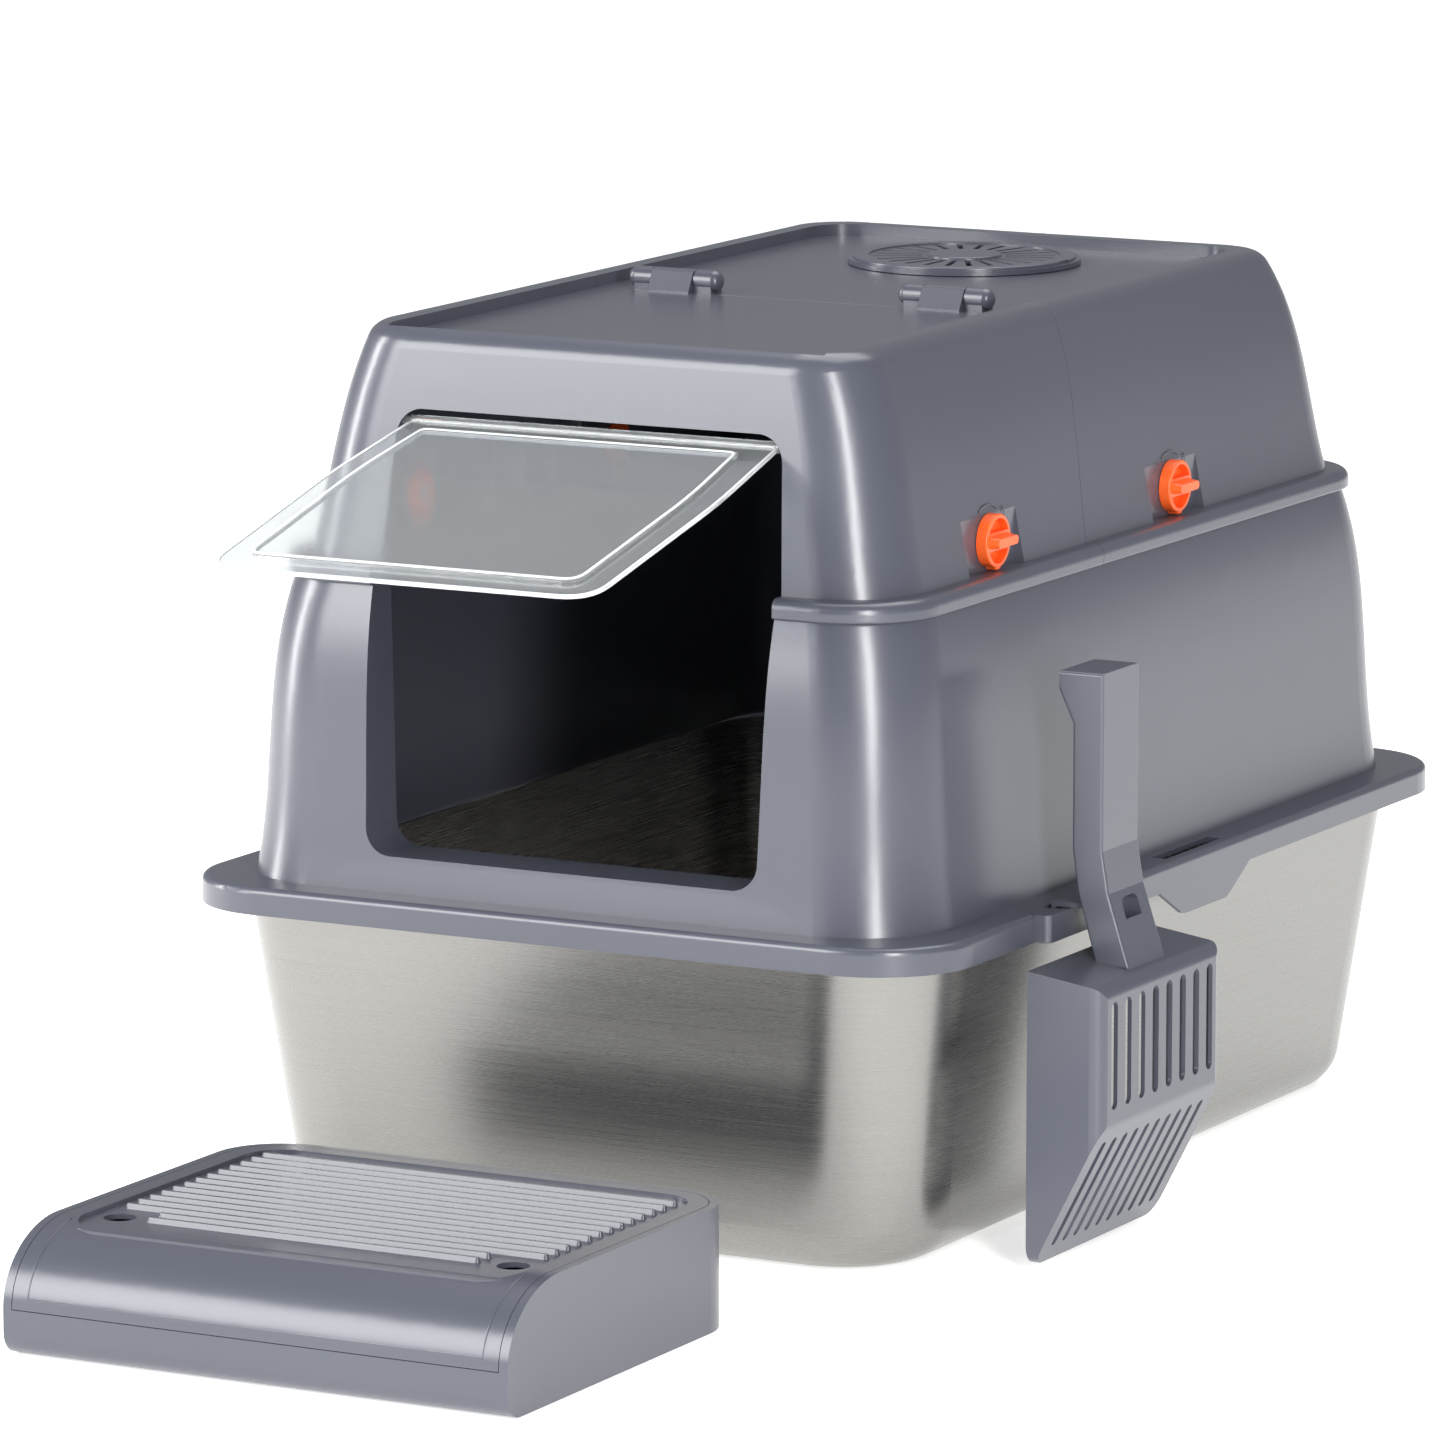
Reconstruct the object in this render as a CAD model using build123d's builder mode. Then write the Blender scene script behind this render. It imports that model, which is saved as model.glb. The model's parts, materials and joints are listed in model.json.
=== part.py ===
from build123d import *
import os
from math import cos, sin, radians

os.makedirs("parts", exist_ok=True)

# Covered cat litter box, millimetres. Z up, front (doorway) towards -Y.
# The origin is the middle of the pan's underside.

gap = 0.4                    # air left between neighbouring mouldings
wall = 2.5                   # moulded wall thickness
above = 20.0                 # how far cutting bodies run past what they cut
trim = 0.02                  # keeps intersected faces from lying exactly on each other

# steel pan
pan_sheet = 0.8
pan_low = (180.0, 282.5)     # half sizes of the wall line at the floor
pan_top = (200.0, 302.5)     # half sizes of the wall at the rim
pan_corner = 58.0
pan_bend = 25.0
pan_rim_z = 168.5
pan_flange = 8.5
pan_roll_r = 2.0
pan_emboss_height = 2.5
emboss_out = (133.0, 237.0, 42.0)    # half width, half depth and corner radius of the pressed ring
emboss_in = (117.0, 221.0, 26.0)

# lower enclosure: z, half width, front y, back y, corner radius
enclosure_levels = [
    (174.0, 194.5, -298.5, 298.5, 51.0),
    (250.0, 188.5, -292.5, 292.5, 49.5),
    (295.0, 184.5, -288.5, 288.5, 48.5),
    (326.0, 178.0, -282.0, 282.0, 47.0),
]
flange_half = (215.0, 319.0)
flange_corner = 52.0
flange_z = 174.0
flange_edge_r = 3.5
flange_hole = (192.5, 296.5, 49.0)
skirt_z = 160.0
lobe_z = 145.0
lobe_top_half = 54.0
lobe_low_half = 26.0
lobe_slot = (66.0, 8.0)
lobe_corner = 11.0
lobe_slot_x = 204.0
ledge_half = (156.0, 260.0)
ledge_corner = 62.0
ledge_z = 326.0
upstand_z = 338.0
jamb_y = -264.0
seat_place = (148.0, -252.0)
seat_r = (6.5, 5.0)
seat_height = 1.0

# doorway
door_half_top = 113.5
door_half_sill = 110.5
door_half_head = 108.0
door_sill_z = 192.0
door_head_z = 414.0
door_corner = 14.0
door_wide_z = 331.0

# hood: z, half width, front y, back y, corner radius
hood_levels = [
    (336.0, 170.5, -274.0, 274.0, 41.0),
    (385.0, 161.0, -267.5, 267.5, 39.0),
    (425.0, 151.5, -262.0, 261.0, 37.0),
    (454.0, 140.0, -257.5, 249.0, 35.0),
]
hood_edge_r = 13.0
brim_edge_r = (5.5, 1.2)     # upper and lower edge
brim_half = (181.0, 285.0)
brim_corner = 47.0
brim_low_z = 326.4
brim_high_z = 336.4
top_panel_z = 448.0
top_panel_half = 123.0
top_panel_front = -222.0
top_panel_back = 232.0
top_panel_run = 34.0         # length over which the panel rises to the front edge
top_panel_corner = 22.0
seam_rib_y = (-74.0, -33.0, -6.0, 20.0)
seam_rib = (12.0, 8.0, 34.0)
seam_rib_x = 165.0
seam_low = (-52.0, 330.0)    # y and z of two points of the seam between the hood halves
seam_high = (-31.5, 454.0)

# hinges between the hood halves
hinge_y = -26.5
hinge_z = 454.2
hinge_x = 78.5
hinge_length = 45.0
hinge_centre = 24.0
hinge_r = 5.6
hinge_pin_r = 2.0
hinge_fit = 0.05
leaf_reach = (10.0, 7.5)    # how far the leaves run forward and back from the hinge line
leaf_rise = 4.6
leaf_root = 1.5
seam_side = 6.9              # hinge line to the front half's edge

# latches
latch_y = (-152.0, 59.0)
latch_z = 351.5
latch_face_x = 164.8
latch_panel_half = 30.5
latch_panel_top = 372.0
latch_cut = 40.0             # more than the recess is deep
knob_r = 13.6
knob_base = 6.0
knob_grip = 11.5
knob_bar = 7.6
knob_bar_taper = 9.0
knob_shaft_r = 5.0
knob_shaft_fit = 0.08
cam_r = 12.0
cam_thick = 2.4
cam_reach = 17.0
cam_tongue = (9.0, 6.5)      # half width at the root and at the tip
knob_pocket = 4.4
knob_rim = 2.2
knob_pointer = (5.0, 6.0, 1.2)   # width, height, corner radius
knob_pointer_r = 11.6
screw_head_r = 3.6
screw_head = 2.0
screw_r = 1.5
screw_hole_r = 1.7
screw_grip = 4.0             # length of screw in the knob's shaft
screw_slot = (4.4, 0.9, 1.2)

# door flap
flap_axis = (-257.5, 407.0)  # y and z of the flap's hinge line
flap_angle = 76.5            # how far the flap stands open at rest
flap_thick = 1.6
flap_half_top = 104.0
flap_half_kink = 109.0
flap_half_low = 106.5
flap_kink = 76.0
flap_length = 203.0
flap_corner = 18.0
flap_border = 15.0
flap_emboss = 2.2
flap_barrel_r = 3.0
flap_peg_r = 2.2
flap_peg_fit = 0.06
flap_lug_x = 109.6
flap_lug_width = 4.5
flap_peg_reach = 4.0
flap_border_r = 9.0

# vent and filter
vent_y = 150.0
vent_ring_r = 62.0
vent_raised_r = 59.3
vent_slot_r = (22.0, 49.0)
vent_slots = 24
vent_slot_width = 3.0
vent_dome_r = 20.0
vent_hole_r = 54.0
tray_r = 53.6
tray_depth = 15.0
pad_r = 50.0
pad_height = 8.0
tray_wall = 2.0
tray_floor = 1.6
tray_lip = (57.0, 1.2)       # radius and thickness
tray_mesh = (10.5, 8.0, 9, 47.0)   # pitch, hole, count each way, radius of the field
ring_hole_r = 57.6
cover_thick = 2.6
cover_sink = 0.7             # the slotted middle lies this much below the raised ring
vent_dome_rise = 0.6
skirt_r = (51.2, 49.6)
skirt_drop = 3.6
notch = (4.0, 9.0)

# scoop, hung on the right side
scoop_y = -160.0
scoop_half = 69.0
scoop_in_x = 226.0
scoop_out_x = 267.0
scoop_top_z = 152.0
scoop_back_drop = 6.0
scoop_mid_z = 76.0
scoop_tip_z = 4.0
scoop_wall = 2.2
scoop_edge_r = 7.5
scoop_tip = 4.0              # depth of the scoop's lower tip
handle_half = 20.8
handle_thick = 16.5
handle_top_z = 294.0
handle_inner_x = 226.5
handle_tip_x = 219.0
handle_foot_x = (240.0, 258.5)
handle_bend_z = (184.0, 205.0, 268.0, 284.0)
handle_edge_r = 1.6
upright_slot = (54.0, 7.0, 15.6, 8)   # length, width, pitch, count
slope_slot = (62.0, 5.0, 12.4, 10)
pocket = (18.0, 17.0, 4.0)
pocket_z = 172.0
hook_x = 212.6
hook_root_x = 234.0
hook_thick = 2.6
hook_low_z = 163.5
hook_width = 30.0
hook_z = 174.4
holder_half = 38.0
holder_x = 223.0
holder_root_x = 211.6
holder_inner_x = 190.0
holder_corner = 3.0
holder_slot_x = 214.2
holder_slot = (9.6, 38.0, 1.5)

# step in front of the doorway
step_centre = (11.0, -496.0)
step_half = (137.5, 116.5)
step_height = 61.0
step_corner = 34.0
step_front_corner = 14.0
step_wall = 2.6
step_lip = 4.6
step_curve = (50.0, 38.0)    # depth and height of the rounded front of the cover
step_front_z = 23.0
step_foot_r = 12.0
round_pull = 0.552           # handle length that makes a Bezier curve a quarter ellipse
step_panel_drop = 2.0
step_rib_count = 15
step_rib_pitch = 10.6
step_rib_first = -60.0
step_rib = (4.0, 2.6)
step_hole_r = 8.0
step_hole_x = 108.0
step_hole_y = -58.0
shelf_drop = 8.0
shelf_width = 9.5
shelf_thick = 2.4
tread_shift = 8.0            # the sunken tread lies this far behind the middle
tread_margin = (15.0, 22.0)
tread_corner = 20.0
front_rib_short = 25.0       # the first two ribs stop short of the finger holes
front_ribs = 2
rib_margin = 21.0
rib_taper = 18.0


def rounded_block(levels, inset=0.0):
    """Loft through rounded rectangles: (z, half width, front y, back y, corner radius)."""
    with BuildPart() as block:
        for z, half_x, front, back, corner in levels:
            with BuildSketch(Plane.XY.offset(z)):
                with Locations((0, (front + back) / 2)):
                    RectangleRounded(2 * (half_x - inset), back - front - 2 * inset, corner - inset)
        loft()
    return block.part


def rounded_prism(half_x, half_y, corner, low, high, centre_y=0.0):
    with BuildPart() as prism:
        with BuildSketch(Plane.XY.offset(low)):
            with Locations((0, centre_y)):
                RectangleRounded(2 * half_x, 2 * half_y, corner)
        extrude(amount=high - low)
    return prism.part


def write(part, name):
    part.label = name
    export_step(part, f"parts/{name}.step")


# ---- steel pan: pressed sheet with a bent bottom, flat flange and rolled edge
def pan_block(inset, low):
    with BuildPart() as block:
        with BuildSketch(Plane.XY.offset(low)):
            RectangleRounded(2 * (pan_low[0] - inset), 2 * (pan_low[1] - inset), pan_corner - inset)
        with BuildSketch(Plane.XY.offset(pan_rim_z)):
            RectangleRounded(2 * (pan_top[0] - inset), 2 * (pan_top[1] - inset), pan_corner - inset)
        loft()
        fillet(block.faces().sort_by(Axis.Z)[0].edges(), pan_bend - inset)
    return block.part


def frame_prism(outer, inner, low, high):
    """Rounded rectangular frame: outer and inner are (half width, half depth, corner radius)."""
    with BuildPart() as frame:
        add(rounded_prism(*outer, low, high))
        add(rounded_prism(*inner, low, high), mode=Mode.SUBTRACT)
    return frame.part


flange_out = (pan_top[0] + pan_flange, pan_top[1] + pan_flange)
flange_bend = pan_corner + pan_flange
press_out = (emboss_out[0] - pan_sheet, emboss_out[1] - pan_sheet, emboss_out[2] - pan_sheet)
press_in = (emboss_in[0] + pan_sheet, emboss_in[1] + pan_sheet, emboss_in[2] + pan_sheet)
roll_low = pan_rim_z - 2 * pan_roll_r
with BuildPart() as roll:
    add(frame_prism((flange_out[0] + pan_roll_r, flange_out[1] + pan_roll_r, flange_bend + pan_roll_r),
                    (flange_out[0] - pan_roll_r, flange_out[1] - pan_roll_r, flange_bend - pan_roll_r),
                    roll_low, pan_rim_z))
    fillet(roll.faces().filter_by(Axis.Z).edges(), pan_roll_r * 0.95)

with BuildPart() as steel_pan:
    add(pan_block(0.0, 0.0))
    add(rounded_prism(*flange_out, flange_bend, pan_rim_z - pan_sheet, pan_rim_z))
    add(pan_block(pan_sheet, pan_sheet), mode=Mode.SUBTRACT)
    add(frame_prism(emboss_out, emboss_in, pan_sheet / 2, pan_emboss_height + pan_sheet / 2))
    add(frame_prism(press_out, press_in, 0.0, pan_emboss_height - pan_sheet / 2), mode=Mode.SUBTRACT)
    add(roll.part)
write(steel_pan.part, "steel_pan")


# ---- doorway, cut through the enclosure and the front of the hood
def door_prism(front, back, grow=0.0):
    low = door_sill_z - grow
    head = door_head_z + grow
    wide = door_half_top + grow
    sill = door_half_sill + grow
    top = door_half_head + grow
    with BuildPart() as prism:
        with BuildSketch(Plane.XZ.offset(-back)):
            with BuildLine():
                Polyline((-sill, low), (sill, low), (wide, door_wide_z), (top, head),
                         (-top, head), (-wide, door_wide_z), (-sill, low))
            face = make_face()
            corners = face.vertices().filter_by(lambda v: abs(v.Y - door_wide_z) > 1)
            fillet(corners, door_corner + grow)
        extrude(amount=back - front)
    return prism.part


# ---- lower enclosure: tapered wall, flange and skirt over the pan, inner ledge, door jamb
enclosure_block = rounded_block(enclosure_levels)
door_cut = door_prism(-340.0, -215.0)

with BuildPart() as door_jamb:
    add(door_prism(-315.0, jamb_y, wall))
    add(enclosure_block, mode=Mode.INTERSECT)

with BuildPart() as flange:
    add(rounded_prism(*flange_half, flange_corner, skirt_z, flange_z))
    fillet(flange.faces().sort_by(Axis.Z)[-1].edges(), flange_edge_r)
    add(rounded_prism(flange_half[0] - wall, flange_half[1] - wall, flange_corner - wall,
                      skirt_z, flange_z - wall), mode=Mode.SUBTRACT)
    add(rounded_prism(*flange_hole, skirt_z, flange_z + wall), mode=Mode.SUBTRACT)

inner_levels = [(flange_z - wall - 1.0,) + enclosure_levels[0][1:]] + enclosure_levels[1:]
inner_levels[-1] = (ledge_z - wall,) + enclosure_levels[-1][1:]


with BuildPart() as lower_enclosure:
    add(enclosure_block)
    add(rounded_block(inner_levels, wall), mode=Mode.SUBTRACT)
    add(rounded_prism(*ledge_half, ledge_corner, flange_z, ledge_z + 1.0), mode=Mode.SUBTRACT)
    add(frame_prism((ledge_half[0] + wall, ledge_half[1] + wall, ledge_corner + wall),
                    (*ledge_half, ledge_corner), ledge_z - wall, upstand_z))
    add(flange.part)
    add(door_jamb.part)
    # round screw seats on the front corner shelves
    with BuildSketch(Plane.XY.offset(ledge_z)):
        with Locations((-seat_place[0], seat_place[1]), seat_place):
            Circle(seat_r[0])
            Circle(seat_r[1], mode=Mode.SUBTRACT)
    extrude(amount=seat_height)
    add(door_cut, mode=Mode.SUBTRACT)
    # lifting lobes under both long sides, each below a slot in the flange
    for side in (-1, 1):
        outer_x = side * flange_half[0]
        with BuildSketch(Plane.YZ.offset(outer_x)):
            with BuildLine():
                Polyline((-lobe_top_half, skirt_z + 4), (-lobe_top_half, skirt_z),
                         (-lobe_low_half, lobe_z), (lobe_low_half, lobe_z),
                         (lobe_top_half, skirt_z), (lobe_top_half, skirt_z + 4),
                         (-lobe_top_half, skirt_z + 4))
            lobe = make_face()
            fillet(lobe.vertices().filter_by(lambda v: v.Y < lobe_z + 1), lobe_corner)
        extrude(amount=-side * wall)
        with BuildSketch(Plane.XY.offset(flange_z - 2 * wall)):
            with Locations((side * lobe_slot_x, 0)):
                Rectangle(lobe_slot[1], lobe_slot[0])
        extrude(amount=3 * wall, mode=Mode.SUBTRACT)
    # holder for the scoop: the skirt bulges out around a slot
    with BuildSketch(Plane.XY.offset(skirt_z)):
        with Locations(((holder_x + holder_root_x) / 2, scoop_y)):
            RectangleRounded(holder_x - holder_root_x, 2 * holder_half, holder_corner)
    extrude(amount=flange_z - skirt_z)
    with BuildSketch(Plane.XY.offset(skirt_z - 1)):
        with Locations(((holder_x - wall + holder_inner_x) / 2, scoop_y)):
            Rectangle(holder_x - wall - holder_inner_x, 2 * (holder_half - wall))
    extrude(amount=flange_z - wall - skirt_z + 1, mode=Mode.SUBTRACT)
    with BuildSketch(Plane.XY.offset(flange_z - 2 * wall)):
        with Locations((holder_slot_x, scoop_y)):
            RectangleRounded(*holder_slot)
    extrude(amount=3 * wall, mode=Mode.SUBTRACT)
write(lower_enclosure.part, "lower_enclosure")


# ---- hood: one tapered shell with a brim, parted across the middle into two halves
def level_at(levels, z):
    """Straight-line section of a lofted body at height z."""
    for low, high in zip(levels, levels[1:]):
        if low[0] <= z <= high[0]:
            share = (z - low[0]) / (high[0] - low[0])
            return (z,) + tuple(a + share * (b - a) for a, b in zip(low[1:], high[1:]))


ceiling = level_at(hood_levels, top_panel_z - wall)
hood_void_levels = [(brim_low_z - 1.0,) + hood_levels[0][1:]] + hood_levels[1:3] + [ceiling]

with BuildPart() as hood_block:
    add(rounded_block(hood_levels))
    fillet(hood_block.faces().sort_by(Axis.Z)[-1].edges(), hood_edge_r)
    # flat recessed panels for the latches, deeper towards the brim
    for side in (-1, 1):
        for y in latch_y:
            with BuildSketch(Plane.XY.offset(brim_low_z)):
                with Locations((side * (latch_face_x + latch_cut / 2), y)):
                    Rectangle(latch_cut, 2 * latch_panel_half)
            extrude(amount=latch_panel_top - brim_low_z, mode=Mode.SUBTRACT)

with BuildPart() as hood_void:
    add(rounded_block(hood_void_levels, wall))
    for side in (-1, 1):
        for y in latch_y:
            with BuildSketch(Plane.XY.offset(brim_low_z - 2)):
                with Locations((side * (latch_face_x - wall + latch_cut / 2), y)):
                    Rectangle(latch_cut, 2 * (latch_panel_half + wall))
            extrude(amount=latch_panel_top + wall - brim_low_z + 2, mode=Mode.SUBTRACT)

with BuildPart() as brim:
    add(rounded_prism(*brim_half, brim_corner, brim_low_z, brim_high_z))
    fillet(brim.faces().sort_by(Axis.Z)[-1].edges(), brim_edge_r[0])
    fillet(brim.faces().sort_by(Axis.Z)[0].edges(), brim_edge_r[1])

hood_top = hood_levels[-1][0]
with BuildPart() as top_recess:
    with BuildSketch(Plane.YZ.offset(-top_panel_half)):
        with BuildLine():
            Polyline((top_panel_front, top_panel_z), (top_panel_front - top_panel_run, hood_top),
                     (top_panel_front - top_panel_run, hood_top + above),
                     (top_panel_back, hood_top + above), (top_panel_back, top_panel_z),
                     (top_panel_front, top_panel_z))
        make_face()
    extrude(amount=2 * top_panel_half)
    fillet(top_recess.edges().filter_by(Axis.Z).group_by(Axis.Y)[-1], top_panel_corner)

# low ribs inside both long walls, beside the seam
with BuildPart() as seam_ribs:
    for side in (-1, 1):
        for y in seam_rib_y:
            with BuildSketch(Plane.XY.offset(brim_high_z)):
                with Locations((side * seam_rib_x, y)):
                    Rectangle(seam_rib[0], seam_rib[1])
            extrude(amount=seam_rib[2])
    add(hood_block.part, mode=Mode.INTERSECT)

with BuildPart() as hood:
    add(hood_block.part)
    add(brim.part)
    add(hood_void.part, mode=Mode.SUBTRACT)
    add(top_recess.part, mode=Mode.SUBTRACT)
    add(seam_ribs.part)
    add(door_cut, mode=Mode.SUBTRACT)
    for side in (-1, 1):
        for y in latch_y:
            with BuildSketch(Plane.YZ.offset(side * (latch_face_x - 2 * wall))):
                with Locations((y, latch_z)):
                    Circle(knob_shaft_r + knob_shaft_fit)
            extrude(amount=side * 4 * wall, mode=Mode.SUBTRACT)
    with BuildSketch(Plane.XY.offset(top_panel_z - 2 * wall)):
        with Locations((0, vent_y)):
            Circle(vent_hole_r)
    extrude(amount=4 * wall, mode=Mode.SUBTRACT)

seam_run = (seam_high[0] - seam_low[0], seam_high[1] - seam_low[1])
seam_length = (seam_run[0] ** 2 + seam_run[1] ** 2) ** 0.5
seam_normal = (0, -seam_run[1] / seam_length, seam_run[0] / seam_length)


def seam_plane(shift):
    origin = (0, seam_high[0] + shift * seam_normal[1], seam_high[1] + shift * seam_normal[2])
    return Plane(origin=origin, x_dir=(1, 0, 0), z_dir=seam_normal)


def barrel(middle, length, radius, axis=(hinge_y, hinge_z)):
    """Round bar along X, centred on an axis given by its y and z."""
    with BuildPart() as tube:
        with BuildSketch(Plane.YZ.offset(middle - length / 2)):
            with Locations(axis):
                Circle(radius)
        extrude(amount=length)
    return tube.part


def leaf(middle, length, points):
    """Block that ties a barrel to the top panel, from its outline in the YZ plane."""
    with BuildPart() as block:
        with BuildSketch(Plane.YZ.offset(middle - length / 2)):
            with BuildLine():
                Polyline(*points, points[0])
            make_face()
        extrude(amount=length)
    return block.part


knuckle = (hinge_length - hinge_centre) / 2 - gap
root_z = top_panel_z - leaf_root
barrel_low = hinge_z - hinge_r
front_end = hinge_y - leaf_reach[0]
rear_end = hinge_y + leaf_reach[1]
front_leaf = [(front_end, root_z), (hinge_y - seam_side, root_z), (hinge_y - seam_side, barrel_low),
              (hinge_y, barrel_low), (hinge_y, hinge_z + hinge_r), (hinge_y - leaf_rise, hinge_z + leaf_rise),
              (front_end, top_panel_z + 1)]
rear_leaf = [(hinge_y - seam_side + 2, root_z), (rear_end, root_z), (rear_end, top_panel_z + 1),
             (hinge_y + leaf_rise, hinge_z + leaf_rise), (hinge_y, hinge_z + hinge_r),
             (hinge_y - seam_side + 2, hinge_z)]

with BuildPart() as hood_front:
    add(hood.part)
    split(bisect_by=seam_plane(gap / 2), keep=Keep.TOP)
    for side in (-1, 1):
        add(barrel(side * hinge_x, hinge_centre, hinge_r))
        add(leaf(side * hinge_x, hinge_centre, front_leaf))
        add(barrel(side * hinge_x, hinge_length, hinge_pin_r + hinge_fit), mode=Mode.SUBTRACT)
    # lugs that carry the flap's pegs, behind both upper corners of the doorway
    for side in (-1, 1):
        with BuildSketch(Plane.YZ.offset(side * flap_lug_x)):
            with BuildLine():
                Polyline((-263.2, flap_axis[1] - 8), (flap_axis[0] + 2, flap_axis[1] - 5),
                         (flap_axis[0] + 5, flap_axis[1] - 2), (flap_axis[0] + 5, flap_axis[1] + 3),
                         (-262.6, flap_axis[1] + 6), (-263.2, flap_axis[1] - 8))
            make_face()
        extrude(amount=side * flap_lug_width)
        with BuildSketch(Plane.YZ.offset(side * (flap_lug_x - 1))):
            with Locations(flap_axis):
                Circle(flap_peg_r + flap_peg_fit)
        extrude(amount=side * 8, mode=Mode.SUBTRACT)
write(hood_front.part, "hood_front")

with BuildPart() as hood_rear:
    add(hood.part)
    split(bisect_by=seam_plane(-gap / 2), keep=Keep.BOTTOM)
    for side in (-1, 1):
        for end in (-1, 1):
            middle = side * hinge_x + end * (hinge_length - knuckle) / 2
            add(barrel(middle, knuckle, hinge_r))
            add(leaf(middle, knuckle, rear_leaf))
        add(barrel(side * hinge_x, hinge_length + 2, hinge_pin_r + hinge_fit), mode=Mode.SUBTRACT)
write(hood_rear.part, "hood_rear")

for name, side in (("left", -1), ("right", 1)):
    write(barrel(side * hinge_x, hinge_length - 1.0, hinge_pin_r), f"hinge_pin_{name}")


# ---- latches: knob outside, cam inside, held together by a screw along X
def latch_place(side, y):
    """Plane on the latch's axis, its z pointing out of the hood's side."""
    return Plane(origin=(side * latch_face_x, y, latch_z), x_dir=(0, 1, 0), z_dir=(side, 0, 0))


def make_knob(side, y):
    place = latch_place(side, y)
    with BuildPart() as knob:
        with BuildSketch(place.offset(gap)):
            Circle(knob_r)
            with Locations((0, -side * knob_pointer_r)):
                RectangleRounded(*knob_pointer)
        extrude(amount=knob_base)
        fillet(knob.faces().sort_by(Axis.X)[-1 if side > 0 else 0].edges(), 0.8)
        # two half-round pockets leave the grip bar between them
        with BuildSketch(place.offset(gap + knob_base)):
            Circle(knob_r - knob_rim)
            Rectangle(2 * knob_r, knob_bar + 1.6, mode=Mode.SUBTRACT)
        extrude(amount=-knob_pocket, mode=Mode.SUBTRACT)
        with BuildSketch(place.offset(gap + knob_base - knob_pocket)):
            RectangleRounded(2 * knob_r - knob_rim, knob_bar, knob_bar / 2 - trim)
        extrude(amount=knob_grip - knob_base + knob_pocket, taper=knob_bar_taper)
        with BuildSketch(place.offset(gap)):
            Circle(knob_shaft_r)
        extrude(amount=-(2 * gap + wall + 0.2))
        with BuildSketch(place.offset(-(gap + wall + 0.2))):
            Circle(screw_r + 0.1)
        extrude(amount=screw_grip + 1, mode=Mode.SUBTRACT)
    return knob.part


def make_cam(side, y):
    place = latch_place(side, y).offset(-(wall + 2 * gap))
    root, tip = cam_tongue
    with BuildPart() as cam:
        with BuildSketch(place):
            Circle(cam_r)
            with BuildLine():
                Polyline((-root, -side * cam_r / 2), (root, -side * cam_r / 2), (tip, -side * cam_reach),
                         (-tip, -side * cam_reach), (-root, -side * cam_r / 2))
            make_face()
        extrude(amount=-cam_thick)
        fillet(cam.edges().filter_by(Axis.X), 1.5)
        with BuildSketch(place):
            Circle(screw_hole_r)
        extrude(amount=-cam_thick, mode=Mode.SUBTRACT)
    return cam.part


def make_screw(side, y):
    inner_face = latch_place(side, y).offset(-(wall + 2 * gap + cam_thick))
    with BuildPart() as screw:
        with BuildSketch(inner_face):
            Circle(screw_head_r)
        extrude(amount=-screw_head)
        fillet(screw.edges().sort_by(Axis.X)[0 if side > 0 else -1], 0.8)
        with BuildSketch(inner_face.offset(-screw_head)):
            Rectangle(screw_slot[0], screw_slot[1])
            Rectangle(screw_slot[1], screw_slot[0])
        extrude(amount=screw_slot[2], mode=Mode.SUBTRACT)
        with BuildSketch(inner_face):
            Circle(screw_r)
        extrude(amount=cam_thick + screw_grip)
    return screw.part


for place_name, y in zip(("front", "rear"), latch_y):
    for side_name, side in (("left", -1), ("right", 1)):
        write(make_knob(side, y), f"knob_{place_name}_{side_name}")
        write(make_cam(side, y), f"cam_{place_name}_{side_name}")
        write(make_screw(side, y), f"cam_screw_{place_name}_{side_name}")


# ---- clear door flap, standing open about its hinge line
flap_turn = radians(flap_angle)
flap_plane = Plane(origin=(0, *flap_axis), x_dir=(1, 0, 0), z_dir=(0, -cos(flap_turn), sin(flap_turn)))


def flap_outline(border):
    """Outline below the hinge line, drawn in from the edge by the border."""
    top = -flap_barrel_r * 0.5 - border
    low = -flap_length + border
    shoulder = flap_half_top - border
    kink = flap_half_kink - border
    foot = flap_half_low - border
    return [(-shoulder, top), (shoulder, top), (kink, -flap_kink), (foot, low),
            (-foot, low), (-kink, -flap_kink), (-shoulder, top)]


def flap_sheet(border, corner, start, thick):
    with BuildPart() as sheet:
        with BuildSketch(flap_plane.offset(start)):
            with BuildLine():
                Polyline(*flap_outline(border))
            face = make_face()
            fillet(face.vertices().filter_by(lambda v: v.Y < -flap_length + border + 1), corner)
        extrude(amount=thick)
    return sheet.part


with BuildPart() as door_flap:
    add(flap_sheet(0.0, flap_corner, -flap_thick / 2, flap_thick))
    add(flap_sheet(flap_border, flap_border_r, 0.0, flap_thick / 2 + flap_emboss))
    add(flap_sheet(flap_border + flap_thick, flap_border_r - flap_thick, -flap_thick / 2, flap_emboss),
        mode=Mode.SUBTRACT)
    add(barrel(0, 2 * flap_half_top, flap_barrel_r, flap_axis))
    add(barrel(0, 2 * (flap_lug_x + flap_peg_reach), flap_peg_r, flap_axis))
write(door_flap.part, "door_flap")


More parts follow.
